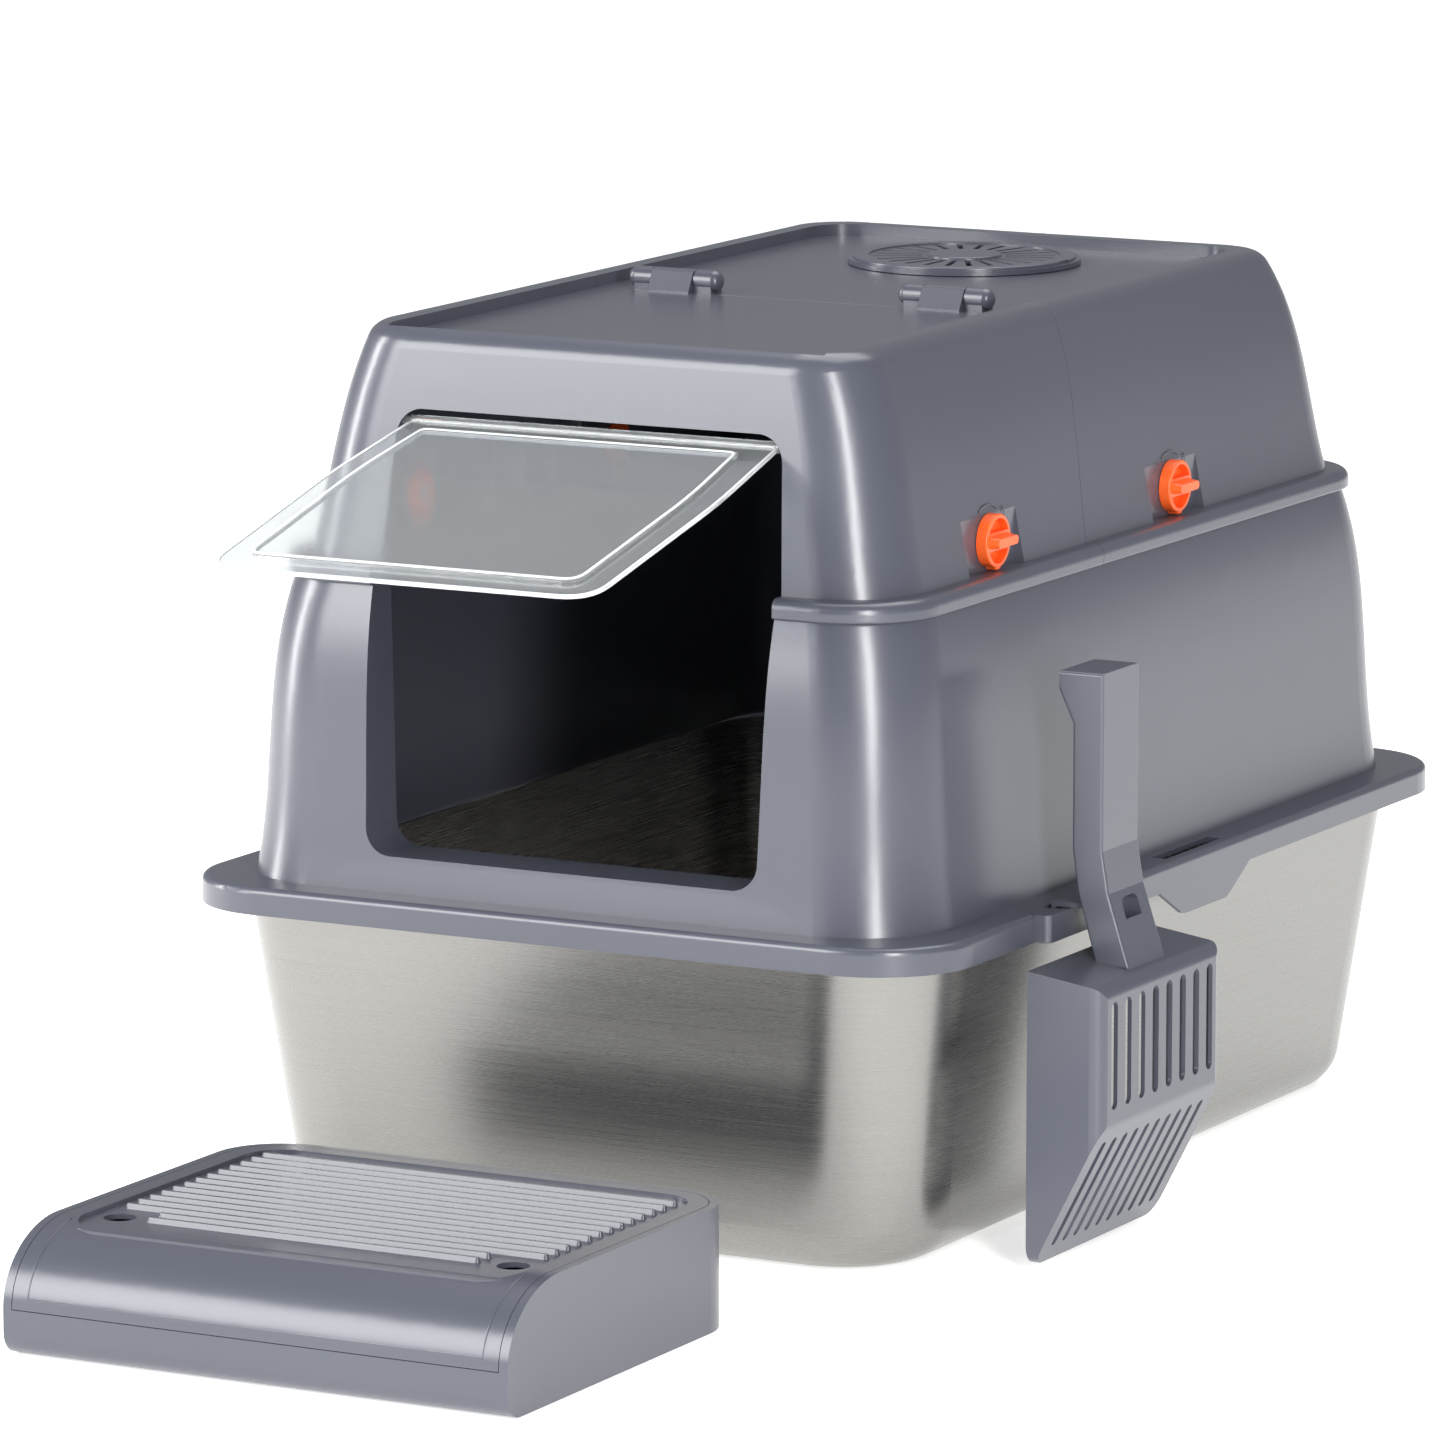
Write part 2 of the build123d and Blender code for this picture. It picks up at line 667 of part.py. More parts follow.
# ---- vent: filter tray in the hood's round hole, carbon pad, twist-on cover
tray_lip_z = top_panel_z + 0.3
tray_floor_z = top_panel_z - tray_depth
with BuildPart() as filter_tray:
    with BuildSketch(Plane.XY.offset(tray_floor_z)):
        with Locations((0, vent_y)):
            Circle(tray_r)
    extrude(amount=tray_lip_z - tray_floor_z)
    with BuildSketch(Plane.XY.offset(tray_floor_z + tray_floor)):
        with Locations((0, vent_y)):
            Circle(tray_r - tray_wall)
    extrude(amount=tray_depth + 2, mode=Mode.SUBTRACT)
    with BuildSketch(Plane.XY.offset(tray_lip_z)):
        with Locations((0, vent_y)):
            Circle(tray_lip[0])
            Circle(tray_r - tray_wall, mode=Mode.SUBTRACT)
    extrude(amount=tray_lip[1])
    # grid of square holes in the floor
    with BuildSketch(Plane.XY.offset(tray_floor_z)):
        with Locations((0, vent_y)):
            with GridLocations(tray_mesh[0], tray_mesh[0], tray_mesh[2], tray_mesh[2]):
                Rectangle(tray_mesh[1], tray_mesh[1])
            Circle(tray_mesh[3], mode=Mode.INTERSECT)
    extrude(amount=tray_floor + gap, mode=Mode.SUBTRACT)
write(filter_tray.part, "filter_tray")

with BuildPart() as filter_pad:
    with BuildSketch(Plane.XY.offset(tray_floor_z + tray_floor + gap)):
        with Locations((0, vent_y)):
            Circle(pad_r)
    extrude(amount=pad_height)
    fillet(filter_pad.edges().filter_by(GeomType.CIRCLE), 1.5)
write(filter_pad.part, "filter_pad")

cover_low = tray_lip_z + tray_lip[1] + gap
cover_high = cover_low + cover_thick
with BuildPart() as vent_cover:
    with BuildSketch(Plane.XY.offset(top_panel_z + gap)):
        with Locations((0, vent_y)):
            Circle(vent_ring_r)
            Circle(ring_hole_r, mode=Mode.SUBTRACT)
    extrude(amount=cover_low + 1 - top_panel_z - gap)
    with BuildSketch(Plane.XY.offset(cover_low)):
        with Locations((0, vent_y)):
            Circle(vent_raised_r)
    extrude(amount=cover_thick)
    fillet(vent_cover.edges().filter_by(GeomType.CIRCLE).group_by(Axis.Z)[-1], 1.0)
    # slotted middle, a little lower than the ring around it
    with BuildSketch(Plane.XY.offset(cover_high - cover_sink)):
        with Locations((0, vent_y)):
            Circle(vent_slot_r[1] + 2)
    extrude(amount=cover_thick, mode=Mode.SUBTRACT)
    with BuildSketch(Plane.XY.offset(cover_low - 1)):
        with Locations((0, vent_y)):
            with PolarLocations((vent_slot_r[0] + vent_slot_r[1]) / 2, vent_slots):
                SlotOverall(vent_slot_r[1] - vent_slot_r[0], vent_slot_width)
    extrude(amount=2 * cover_thick, mode=Mode.SUBTRACT)
    with BuildSketch(Plane.XY.offset(cover_low + 1)):
        with Locations((0, vent_y)):
            Circle(vent_dome_r)
    extrude(amount=cover_thick - 1 + vent_dome_rise)
    fillet(vent_cover.edges().filter_by(GeomType.CIRCLE).group_by(Axis.Z)[-1].sort_by(SortBy.LENGTH)[0], 1.0)
    # short bayonet skirt that turns inside the tray
    with BuildSketch(Plane.XY.offset(cover_low - skirt_drop)):
        with Locations((0, vent_y)):
            Circle(skirt_r[0])
            Circle(skirt_r[1], mode=Mode.SUBTRACT)
    extrude(amount=skirt_drop + gap / 2)
    # two finger notches in the outer ring
    with BuildSketch(Plane.XY.offset(cover_low + 1)):
        with Locations((-vent_ring_r + 1.5, vent_y), (vent_ring_r - 1.5, vent_y)):
            Rectangle(*notch)
    extrude(amount=cover_thick, mode=Mode.SUBTRACT)
write(vent_cover.part, "vent_cover")


# ---- scoop: open basket towards the pan, strap handle, hook that drops into the holder
def plate(plane, centre, size, corner, thick):
    """Rounded rectangle on a plane, made into a plate."""
    with BuildPart() as block:
        with BuildSketch(plane):
            with Locations(centre):
                RectangleRounded(*size, corner)
        extrude(amount=thick)
    return block.part


def xz_prism(points, width):
    """Prism along Y, centred on the scoop, from an outline in the XZ plane."""
    with BuildPart() as prism:
        with BuildSketch(Plane.XZ.offset(-(scoop_y + width / 2))):
            with BuildLine():
                Polyline(*points, points[0])
            make_face()
        extrude(amount=width)
    return prism.part


def scoop_block(inset, back_x):
    """Basket's solid form, drawn in by the inset, reaching back to back_x."""
    tip_x = scoop_in_x + scoop_tip
    half = scoop_half - inset
    reach = scoop_out_x - back_x
    with BuildPart() as block:
        with BuildSketch(Plane.XZ.offset(-(scoop_y + scoop_half))):
            with BuildLine():
                Polyline((back_x, scoop_top_z), (scoop_out_x, scoop_top_z - scoop_back_drop),
                         (scoop_out_x, scoop_mid_z), (tip_x, scoop_tip_z), (back_x, scoop_tip_z),
                         (back_x, scoop_top_z))
            side_face = make_face()
            fillet(side_face.vertices().group_by(Axis.X)[-1], scoop_edge_r)
            if inset:
                offset(amount=-inset)
        extrude(amount=2 * scoop_half)
        add(plate(Plane.XY, ((back_x - scoop_half + scoop_out_x) / 2, scoop_y),
                  (reach + scoop_half - 2 * inset + trim, 2 * half + trim),
                  scoop_edge_r - inset, scoop_top_z + 1), mode=Mode.INTERSECT)
        add(plate(Plane.YZ.offset(back_x - 1), (scoop_y, scoop_tip_z + scoop_top_z / 2 + above / 2),
                  (2 * half + 2 * trim, scoop_top_z + above - 2 * inset + trim),
                  scoop_edge_r + scoop_wall - inset, reach + 2), mode=Mode.INTERSECT)
    return block.part


slope_run = (scoop_out_x - scoop_in_x - scoop_tip, scoop_mid_z - scoop_tip_z)
slope_length = (slope_run[0] ** 2 + slope_run[1] ** 2) ** 0.5
slope_middle = ((scoop_out_x + scoop_in_x + scoop_tip) / 2, (scoop_mid_z + scoop_tip_z) / 2)
slope_plane = Plane(origin=(slope_middle[0], scoop_y, slope_middle[1]), x_dir=(0, 1, 0),
                    z_dir=(slope_run[1] / slope_length, 0, -slope_run[0] / slope_length))
slot_cut = 8.0                       # deeper than the basket's wall

# strap from the basket's top edge, bent out to the pan's wall and flared in at its end
handle_base_z = scoop_top_z - scoop_back_drop + 1
handle_outer_x = handle_inner_x + handle_thick
handle_outline = [(handle_foot_x[0], handle_base_z), (handle_inner_x + 3, handle_bend_z[0]),
                  (handle_inner_x, handle_bend_z[1]), (handle_inner_x, handle_bend_z[2]),
                  (handle_tip_x, handle_bend_z[3]), (handle_tip_x, handle_top_z),
                  (handle_outer_x, handle_top_z), (handle_outer_x, handle_bend_z[1]),
                  (handle_outer_x + 3.5, handle_bend_z[0]), (handle_foot_x[1], handle_base_z)]
hook_outline = [(hook_x, hook_z + hook_thick), (hook_x, hook_low_z), (hook_x + hook_thick, hook_low_z),
                (hook_x + hook_thick, hook_z), (hook_root_x, hook_z), (hook_root_x, hook_z + hook_thick)]

with BuildPart() as scoop_handle:
    add(xz_prism(handle_outline, 2 * handle_half))
    rims = scoop_handle.edges().filter_by(lambda e: abs(abs(e.center().Y - scoop_y) - handle_half) < trim)
    fillet(rims.filter_by(lambda e: e.length > handle_half / 2), handle_edge_r)

with BuildPart() as scoop:
    add(scoop_block(0.0, scoop_in_x))
    add(scoop_block(scoop_wall, scoop_in_x - slot_cut), mode=Mode.SUBTRACT)
    with BuildSketch(Plane.YZ.offset(scoop_out_x + 1)):
        with Locations((scoop_y, (scoop_mid_z + scoop_top_z - scoop_back_drop) / 2)):
            with GridLocations(upright_slot[2], 0, upright_slot[3], 1):
                SlotOverall(upright_slot[0], upright_slot[1], rotation=90)
    extrude(amount=-slot_cut, mode=Mode.SUBTRACT)
    with BuildSketch(slope_plane.offset(slot_cut / 2)):
        with GridLocations(slope_slot[2], 0, slope_slot[3], 1):
            SlotOverall(slope_slot[0], slope_slot[1], rotation=90)
    extrude(amount=-slot_cut, mode=Mode.SUBTRACT)
    add(scoop_handle.part)
    # pocket low on the outside of the strap
    with BuildSketch(Plane.YZ.offset(handle_outer_x)):
        with Locations((scoop_y, pocket_z)):
            RectangleRounded(*pocket)
    extrude(amount=slot_cut, mode=Mode.SUBTRACT)
    add(xz_prism(hook_outline, hook_width))
write(scoop.part, "scoop")


# ---- step: tray with side cheeks, lift-off ribbed cover that rolls down over the front
step_front = step_centre[1] - step_half[1]
step_back = step_centre[1] + step_half[1]


def step_side(inset):
    """Side outline in the YZ plane, drawn in by the inset."""
    front = step_front + inset
    back = step_back - inset
    top = step_height - inset
    depth, height = step_curve
    with BuildLine() as outline:
        low_edge = Line((front + step_foot_r, inset), (back - step_foot_r, inset))
        back_foot = RadiusArc(low_edge @ 1, (back, inset + step_foot_r), -step_foot_r)
        back_wall = Line(back_foot @ 1, (back, top))
        deck = Line(back_wall @ 1, (front + depth, top))
        roll = Bezier((front + depth, top), (front + depth * (1 - round_pull), top),
                      (front, top - height * (1 - round_pull)), (front, top - height))
        nose = Line(roll @ 1, (front, inset + step_foot_r))
        RadiusArc(nose @ 1, low_edge @ 0, -step_foot_r)
    return outline.line


def step_plan(inset):
    """Upright prism on the step's plan outline."""
    with BuildPart() as prism:
        with BuildSketch():
            with Locations(step_centre):
                plan = Rectangle(2 * (step_half[0] - inset), 2 * (step_half[1] - inset))
            fillet(plan.vertices().group_by(Axis.Y)[-1], step_corner - inset)
            fillet(plan.vertices().group_by(Axis.Y)[0], step_front_corner - inset)
        extrude(amount=step_height + 1)
    return prism.part


def step_block(inset):
    """Whole outer shape of the step, drawn in by the inset."""
    with BuildPart() as block:
        with BuildSketch(Plane.YZ.offset(step_centre[0] - step_half[0] + inset)):
            add(step_side(inset))
            make_face()
        extrude(amount=2 * (step_half[0] - inset))
        add(step_plan(inset), mode=Mode.INTERSECT)
    return block.part


def cover_zone(inset, low):
    """Upright prism that parts the cover from the base, open towards the front."""
    with BuildPart() as zone:
        with BuildSketch(Plane.XY.offset(low)) as plan:
            with Locations((step_centre[0], step_centre[1] - above)):
                Rectangle(2 * (step_half[0] - step_lip - inset),
                          2 * (step_half[1] - step_lip - inset) + 2 * above)
            fillet(plan.vertices().group_by(Axis.Y)[-1], step_corner - step_lip - inset)
        extrude(amount=step_height)
    return zone.part


with BuildPart() as step_base:
    add(step_block(0.0))
    add(step_block(step_wall), mode=Mode.SUBTRACT)
    add(cover_zone(0.0, step_front_z), mode=Mode.SUBTRACT)
    # shelf inside the rim that the cover rests on
    with BuildSketch(Plane.XY.offset(step_height - shelf_drop)) as shelf:
        with Locations(step_centre):
            Rectangle(2 * step_half[0] - step_wall, 2 * step_half[1] - step_wall)
        fillet(shelf.vertices().group_by(Axis.Y)[-1], step_corner - step_wall / 2)
        with Locations((step_centre[0], step_centre[1] - above)):
            Rectangle(2 * (step_half[0] - step_wall / 2 - shelf_width),
                      2 * (step_half[1] - step_wall / 2 - shelf_width + above), mode=Mode.SUBTRACT)
        with Locations((step_centre[0], step_front)):
            Rectangle(4 * step_half[0], 2 * (step_curve[0] + shelf_drop), mode=Mode.SUBTRACT)
    extrude(amount=shelf_thick)
write(step_base.part, "step_base")

with BuildPart() as step_cover:
    add(step_block(0.0))
    add(step_block(step_wall), mode=Mode.SUBTRACT)
    add(cover_zone(gap, step_front_z + gap), mode=Mode.INTERSECT)
    # sunken tread with ribs across it
    with BuildSketch(Plane.XY.offset(step_height - step_panel_drop)):
        with Locations((step_centre[0], step_centre[1] + tread_shift)):
            RectangleRounded(2 * (step_half[0] - tread_margin[0]), 2 * (step_half[1] - tread_margin[1]),
                             tread_corner)
    extrude(amount=step_panel_drop + 1, mode=Mode.SUBTRACT)
    with BuildSketch(Plane.XY.offset(step_height - step_wall - step_panel_drop)):
        with Locations((step_centre[0], step_centre[1] + tread_shift)):
            RectangleRounded(2 * (step_half[0] - tread_margin[0] + 2),
                             2 * (step_half[1] - tread_margin[1] + 2),
                             tread_corner + 1)
    extrude(amount=step_panel_drop + gap / 2)
    for index in range(step_rib_count):
        rib_y = step_centre[1] + step_rib_first + index * step_rib_pitch
        half_rib = step_half[0] - rib_margin - (front_rib_short if index < front_ribs else 0)
        with BuildSketch(Plane.XY.offset(step_height - step_panel_drop - 0.5)):
            with Locations((step_centre[0], rib_y)):
                SlotOverall(2 * half_rib, step_rib[0])
        extrude(amount=step_rib[1] + 0.5, taper=rib_taper)
    with BuildSketch(Plane.XY.offset(step_height / 2)):
        with Locations((step_centre[0] - step_hole_x, step_centre[1] + step_hole_y),
                       (step_centre[0] + step_hole_x, step_centre[1] + step_hole_y)):
            Circle(step_hole_r)
    extrude(amount=step_height, mode=Mode.SUBTRACT)
write(step_cover.part, "step_cover")
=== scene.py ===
import bpy
import json
from math import cos, sin, radians, pi
from mathutils import Matrix, Vector


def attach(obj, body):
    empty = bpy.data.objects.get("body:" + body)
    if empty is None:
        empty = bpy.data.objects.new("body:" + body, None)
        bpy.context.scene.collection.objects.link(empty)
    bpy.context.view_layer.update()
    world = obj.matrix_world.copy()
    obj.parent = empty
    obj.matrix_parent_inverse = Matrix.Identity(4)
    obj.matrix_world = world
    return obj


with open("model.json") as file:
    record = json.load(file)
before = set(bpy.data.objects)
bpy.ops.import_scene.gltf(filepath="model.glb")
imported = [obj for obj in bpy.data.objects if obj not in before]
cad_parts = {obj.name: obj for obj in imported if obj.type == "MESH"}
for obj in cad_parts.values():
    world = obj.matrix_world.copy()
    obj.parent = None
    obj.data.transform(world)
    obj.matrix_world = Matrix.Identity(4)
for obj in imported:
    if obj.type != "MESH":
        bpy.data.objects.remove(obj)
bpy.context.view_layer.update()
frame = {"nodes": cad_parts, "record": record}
nodes = frame["nodes"]
scene = bpy.context.scene
mm = 0.001
print("frame loaded,", len(nodes), "nodes")


# ---- camera and light
view = {"azimuth": 28.09, "elevation": 9.838, "distance": 4.92995, "right": -0.05805, "up": 0.2193,
        "lens": 233.37, "sensor": 36.0, "reach": 100}


def placeCamera():
    a, e = radians(view["azimuth"]), radians(view["elevation"])
    back = Vector((sin(a) * cos(e), -cos(a) * cos(e), sin(e)))
    right = Vector((cos(a), sin(a), 0))
    up = back.cross(right)
    data = bpy.data.cameras.new("viewCamera")
    data.lens = view["lens"]
    data.sensor_width = view["sensor"]
    data.clip_end = view["reach"]
    cam = bpy.data.objects.new("viewCamera", data)
    scene.collection.objects.link(cam)
    turn = Matrix((right, up, back)).transposed()
    spot = right * view["right"] + up * view["up"] + back * view["distance"]
    cam.matrix_world = Matrix.Translation(spot) @ turn.to_4x4()
    scene.camera = cam


placeCamera()
scene.view_settings.view_transform = "Standard"
scene.view_settings.look = "None"

softBoxes = {   # place, aim, width, height, watts
    "frontBox": ((-2.2, -3.6, 1.9), (0, -0.1, 0.15), 2.2, 2.6, 165),
    "cornerStrip": ((2.6, -2.7, 1.2), (0.15, -0.25, 0.2), 0.5, 2.8, 125),
    "topBox": ((0.0, 1.0, 3.4), (0, 0, 0.2), 2.8, 2.8, 75),
    "leftStrip": ((-3.3, -0.9, 0.9), (0, -0.2, 0.2), 0.5, 2.4, 70),
}


def addSoftBox(name, place, aim, width, height, watts):
    data = bpy.data.lights.new(name, "AREA")
    data.shape = "RECTANGLE"
    data.size, data.size_y = width, height
    data.energy = watts
    box = bpy.data.objects.new(name, data)
    scene.collection.objects.link(box)
    box.location = place
    box.rotation_euler = (Vector(aim) - Vector(place)).to_track_quat("-Z", "Y").to_euler()
    box.visible_camera = False


for name, setting in softBoxes.items():
    addSoftBox(name, *setting)

paleStudio = {"colour": (0.93, 0.96, 1.0, 1), "strength": 0.28}
world = bpy.data.worlds.new("paleStudio")
scene.world = world
world.use_nodes = True
background = world.node_tree.nodes["Background"]
background.inputs["Color"].default_value = paleStudio["colour"]
background.inputs["Strength"].default_value = paleStudio["strength"]
print("camera and lights set")


# ---- materials
def hexColour(text):
    channels = [int(text[i:i + 2], 16) / 255 for i in (1, 3, 5)]
    return tuple(c / 12.92 if c <= 0.04045 else ((c + 0.055) / 1.055) ** 2.4 for c in channels) + (1.0,)


def addNode(tree, kind, settings=None, **links):
    made = tree.nodes.new(kind)
    for key, value in (settings or {}).items():
        if key.startswith("in:"):
            slot = key[3:]
            made.inputs[int(slot) if slot.isdigit() else slot].default_value = value
        else:
            setattr(made, key, value)
    for key, source in links.items():
        slot = key[1:] if key[0] == "_" else key
        tree.links.new(source, made.inputs[int(slot) if slot.isdigit() else slot.replace("_", " ")])
    return made


def startMaterial(name):
    material = bpy.data.materials.new(name)
    material.use_nodes = True
    tree = material.node_tree
    shader = tree.nodes["Principled BSDF"]
    place = addNode(tree, "ShaderNodeTexCoord").outputs["Object"]
    return material, tree, shader, place


# injection-moulded ABS with a satin tool finish: an even slate grey, broad soft highlights,
# faint flow clouds and a fine spark-eroded grain of about 0.4 mm, drawn at 0.8 mm so that it shows
slateAbs = {"dark": "#4a4c57", "pale": "#4e505b", "cloud": 160, "grain": 0.8, "ior": 1.55,
            "roughness": (0.29, 0.31), "bump": 0.012, "height": 0.0004, "coat": 0.3, "coatRoughness": 0.22}


def mouldedSlateAbs():
    material, tree, shader, place = startMaterial("mouldedSlateAbs")
    cloud = addNode(tree, "ShaderNodeTexNoise", {"in:Scale": 1000 / slateAbs["cloud"], "in:Detail": 0.5},
                    Vector=place)
    tone = addNode(tree, "ShaderNodeMix", {"data_type": "RGBA", "in:6": hexColour(slateAbs["dark"]),
                                           "in:7": hexColour(slateAbs["pale"])}, _0=cloud.outputs["Fac"])
    tree.links.new(tone.outputs[2], shader.inputs["Base Color"])
    gloss = addNode(tree, "ShaderNodeMapRange", {"in:From Min": 0.3, "in:From Max": 0.7,
                                                 "in:To Min": slateAbs["roughness"][0],
                                                 "in:To Max": slateAbs["roughness"][1]}, Value=cloud.outputs["Fac"])
    tree.links.new(gloss.outputs[0], shader.inputs["Roughness"])
    grain = addNode(tree, "ShaderNodeTexNoise", {"in:Scale": 1000 / slateAbs["grain"], "in:Detail": 2.0},
                    Vector=place)
    bump = addNode(tree, "ShaderNodeBump", {"in:Strength": slateAbs["bump"], "in:Distance": slateAbs["height"]},
                   Height=grain.outputs["Fac"])
    tree.links.new(bump.outputs[0], shader.inputs["Normal"])
    shader.inputs["IOR"].default_value = slateAbs["ior"]
    shader.inputs["Coat Weight"].default_value = slateAbs["coat"]
    shader.inputs["Coat Roughness"].default_value = slateAbs["coatRoughness"]
    return material


# cold-rolled stainless sheet, brushed along its walls: bright bands across the bends,
# fine lines about 0.3 mm apart that run level round the pan, drawn at 0.5 mm so that they show
brushedStainless = {"dark": "#8f8e8b", "pale": "#999794", "line": 0.5, "run": 120, "roughness": (0.26, 0.29),
                    "bump": 0.006, "height": 0.0003}


def brushedStainlessSheet():
    material, tree, shader, place = startMaterial("brushedStainlessSheet")
    squeeze = addNode(tree, "ShaderNodeMapping", {"in:Scale": (1000 / brushedStainless["run"],
                                                               1000 / brushedStainless["run"],
                                                               1000 / brushedStainless["line"])}, Vector=place)
    lines = addNode(tree, "ShaderNodeTexNoise", {"in:Scale": 1.0, "in:Detail": 3.0}, Vector=squeeze.outputs[0])
    tone = addNode(tree, "ShaderNodeMix", {"data_type": "RGBA", "in:6": hexColour(brushedStainless["dark"]),
                                           "in:7": hexColour(brushedStainless["pale"])}, _0=lines.outputs["Fac"])
    tree.links.new(tone.outputs[2], shader.inputs["Base Color"])
    gloss = addNode(tree, "ShaderNodeMapRange", {"in:From Min": 0.3, "in:From Max": 0.7,
                                                 "in:To Min": brushedStainless["roughness"][0],
                                                 "in:To Max": brushedStainless["roughness"][1]},
                    Value=lines.outputs["Fac"])
    tree.links.new(gloss.outputs[0], shader.inputs["Roughness"])
    bump = addNode(tree, "ShaderNodeBump", {"in:Strength": brushedStainless["bump"],
                                               "in:Distance": brushedStainless["height"]},
                   Height=lines.outputs["Fac"])
    tree.links.new(bump.outputs[0], shader.inputs["Normal"])
    shader.inputs["Metallic"].default_value = 1.0
    return material


# injection-moulded ABS in signal orange with a polished tool: clean colour, crisp small highlights
orangeAbs = {"deep": "#f4581a", "bright": "#ff6d2b", "cloud": 12, "grain": 0.6, "ior": 1.53,
             "roughness": (0.26, 0.4), "bump": 0.03, "height": 0.0003}


def mouldedOrangeAbs():
    material, tree, shader, place = startMaterial("mouldedOrangeAbs")
    cloud = addNode(tree, "ShaderNodeTexNoise", {"in:Scale": 1000 / orangeAbs["cloud"], "in:Detail": 2.0},
                    Vector=place)
    tone = addNode(tree, "ShaderNodeMix", {"data_type": "RGBA", "in:6": hexColour(orangeAbs["deep"]),
                                           "in:7": hexColour(orangeAbs["bright"])}, _0=cloud.outputs["Fac"])
    tree.links.new(tone.outputs[2], shader.inputs["Base Color"])
    grain = addNode(tree, "ShaderNodeTexNoise", {"in:Scale": 1000 / orangeAbs["grain"], "in:Detail": 2.0},
                    Vector=place)
    gloss = addNode(tree, "ShaderNodeMapRange", {"in:To Min": orangeAbs["roughness"][0],
                                                 "in:To Max": orangeAbs["roughness"][1]}, Value=grain.outputs["Fac"])
    tree.links.new(gloss.outputs[0], shader.inputs["Roughness"])
    bump = addNode(tree, "ShaderNodeBump", {"in:Strength": orangeAbs["bump"], "in:Distance": orangeAbs["height"]},
                   Height=grain.outputs["Fac"])
    tree.links.new(bump.outputs[0], shader.inputs["Normal"])
    shader.inputs["IOR"].default_value = orangeAbs["ior"]
    return material


# clear moulded polystyrene: see-through with a slight milky haze and faint flow ripples 30 mm long
clearStyrene = {"tint": "#f7fafb", "haze": "#eef2f4", "ripple": 30, "ior": 1.59, "clear": 0.86,
                "roughness": (0.03, 0.1), "bump": 0.02, "height": 0.001}


def mouldedClearStyrene():
    material, tree, shader, place = startMaterial("mouldedClearStyrene")
    ripple = addNode(tree, "ShaderNodeTexNoise", {"in:Scale": 1000 / clearStyrene["ripple"], "in:Detail": 1.0},
                     Vector=place)
    tone = addNode(tree, "ShaderNodeMix", {"data_type": "RGBA", "in:6": hexColour(clearStyrene["tint"]),
                                           "in:7": hexColour(clearStyrene["haze"])}, _0=ripple.outputs["Fac"])
    tree.links.new(tone.outputs[2], shader.inputs["Base Color"])
    gloss = addNode(tree, "ShaderNodeMapRange", {"in:To Min": clearStyrene["roughness"][0],
                                                 "in:To Max": clearStyrene["roughness"][1]},
                    Value=ripple.outputs["Fac"])
    tree.links.new(gloss.outputs[0], shader.inputs["Roughness"])
    bump = addNode(tree, "ShaderNodeBump", {"in:Strength": clearStyrene["bump"],
                                               "in:Distance": clearStyrene["height"]},
                   Height=ripple.outputs["Fac"])
    tree.links.new(bump.outputs[0], shader.inputs["Normal"])
    shader.inputs["IOR"].default_value = clearStyrene["ior"]
    shader.inputs["Transmission Weight"].default_value = clearStyrene["clear"]
    return material


# the same styrene where its ground edge scatters light: frosted white
frostedEdge = {"pale": "#ffffff", "soft": "#e6ebee", "grit": 0.7, "ior": 1.59, "roughness": (0.3, 0.5), "clear": 0.35}


def frostedStyreneEdge():
    material, tree, shader, place = startMaterial("frostedStyreneEdge")
    grit = addNode(tree, "ShaderNodeTexNoise", {"in:Scale": 1000 / frostedEdge["grit"], "in:Detail": 2.0},
                   Vector=place)
    tone = addNode(tree, "ShaderNodeMix", {"data_type": "RGBA", "in:6": hexColour(frostedEdge["pale"]),
                                           "in:7": hexColour(frostedEdge["soft"])}, _0=grit.outputs["Fac"])
    tree.links.new(tone.outputs[2], shader.inputs["Base Color"])
    gloss = addNode(tree, "ShaderNodeMapRange", {"in:To Min": frostedEdge["roughness"][0],
                                                 "in:To Max": frostedEdge["roughness"][1]}, Value=grit.outputs["Fac"])
    tree.links.new(gloss.outputs[0], shader.inputs["Roughness"])
    shader.inputs["IOR"].default_value = frostedEdge["ior"]
    shader.inputs["Transmission Weight"].default_value = frostedEdge["clear"]
    return material


# zinc-plated and drawn steel: small bright metal parts with fine turning lines of 0.2 mm, drawn at 0.5 mm
platedSteel = {"dark": "#8f8e8b", "pale": "#bdbcb8", "line": 0.5, "roughness": (0.25, 0.42)}


def zincPlatedSteel():
    material, tree, shader, place = startMaterial("zincPlatedSteel")
    lines = addNode(tree, "ShaderNodeTexNoise", {"in:Scale": 1000 / platedSteel["line"], "in:Detail": 2.0},
                    Vector=place)
    tone = addNode(tree, "ShaderNodeMix", {"data_type": "RGBA", "in:6": hexColour(platedSteel["dark"]),
                                           "in:7": hexColour(platedSteel["pale"])}, _0=lines.outputs["Fac"])
    tree.links.new(tone.outputs[2], shader.inputs["Base Color"])
    gloss = addNode(tree, "ShaderNodeMapRange", {"in:To Min": platedSteel["roughness"][0],
                                                 "in:To Max": platedSteel["roughness"][1]}, Value=lines.outputs["Fac"])
    tree.links.new(gloss.outputs[0], shader.inputs["Roughness"])
    shader.inputs["Metallic"].default_value = 1.0
    return material


# needled carbon felt: matt black with fibres about 1 mm long
carbonFelt = {"dark": "#141414", "pale": "#2b2b2c", "fibre": 1.2, "bump": 0.5, "height": 0.0006, "roughness": 0.95}


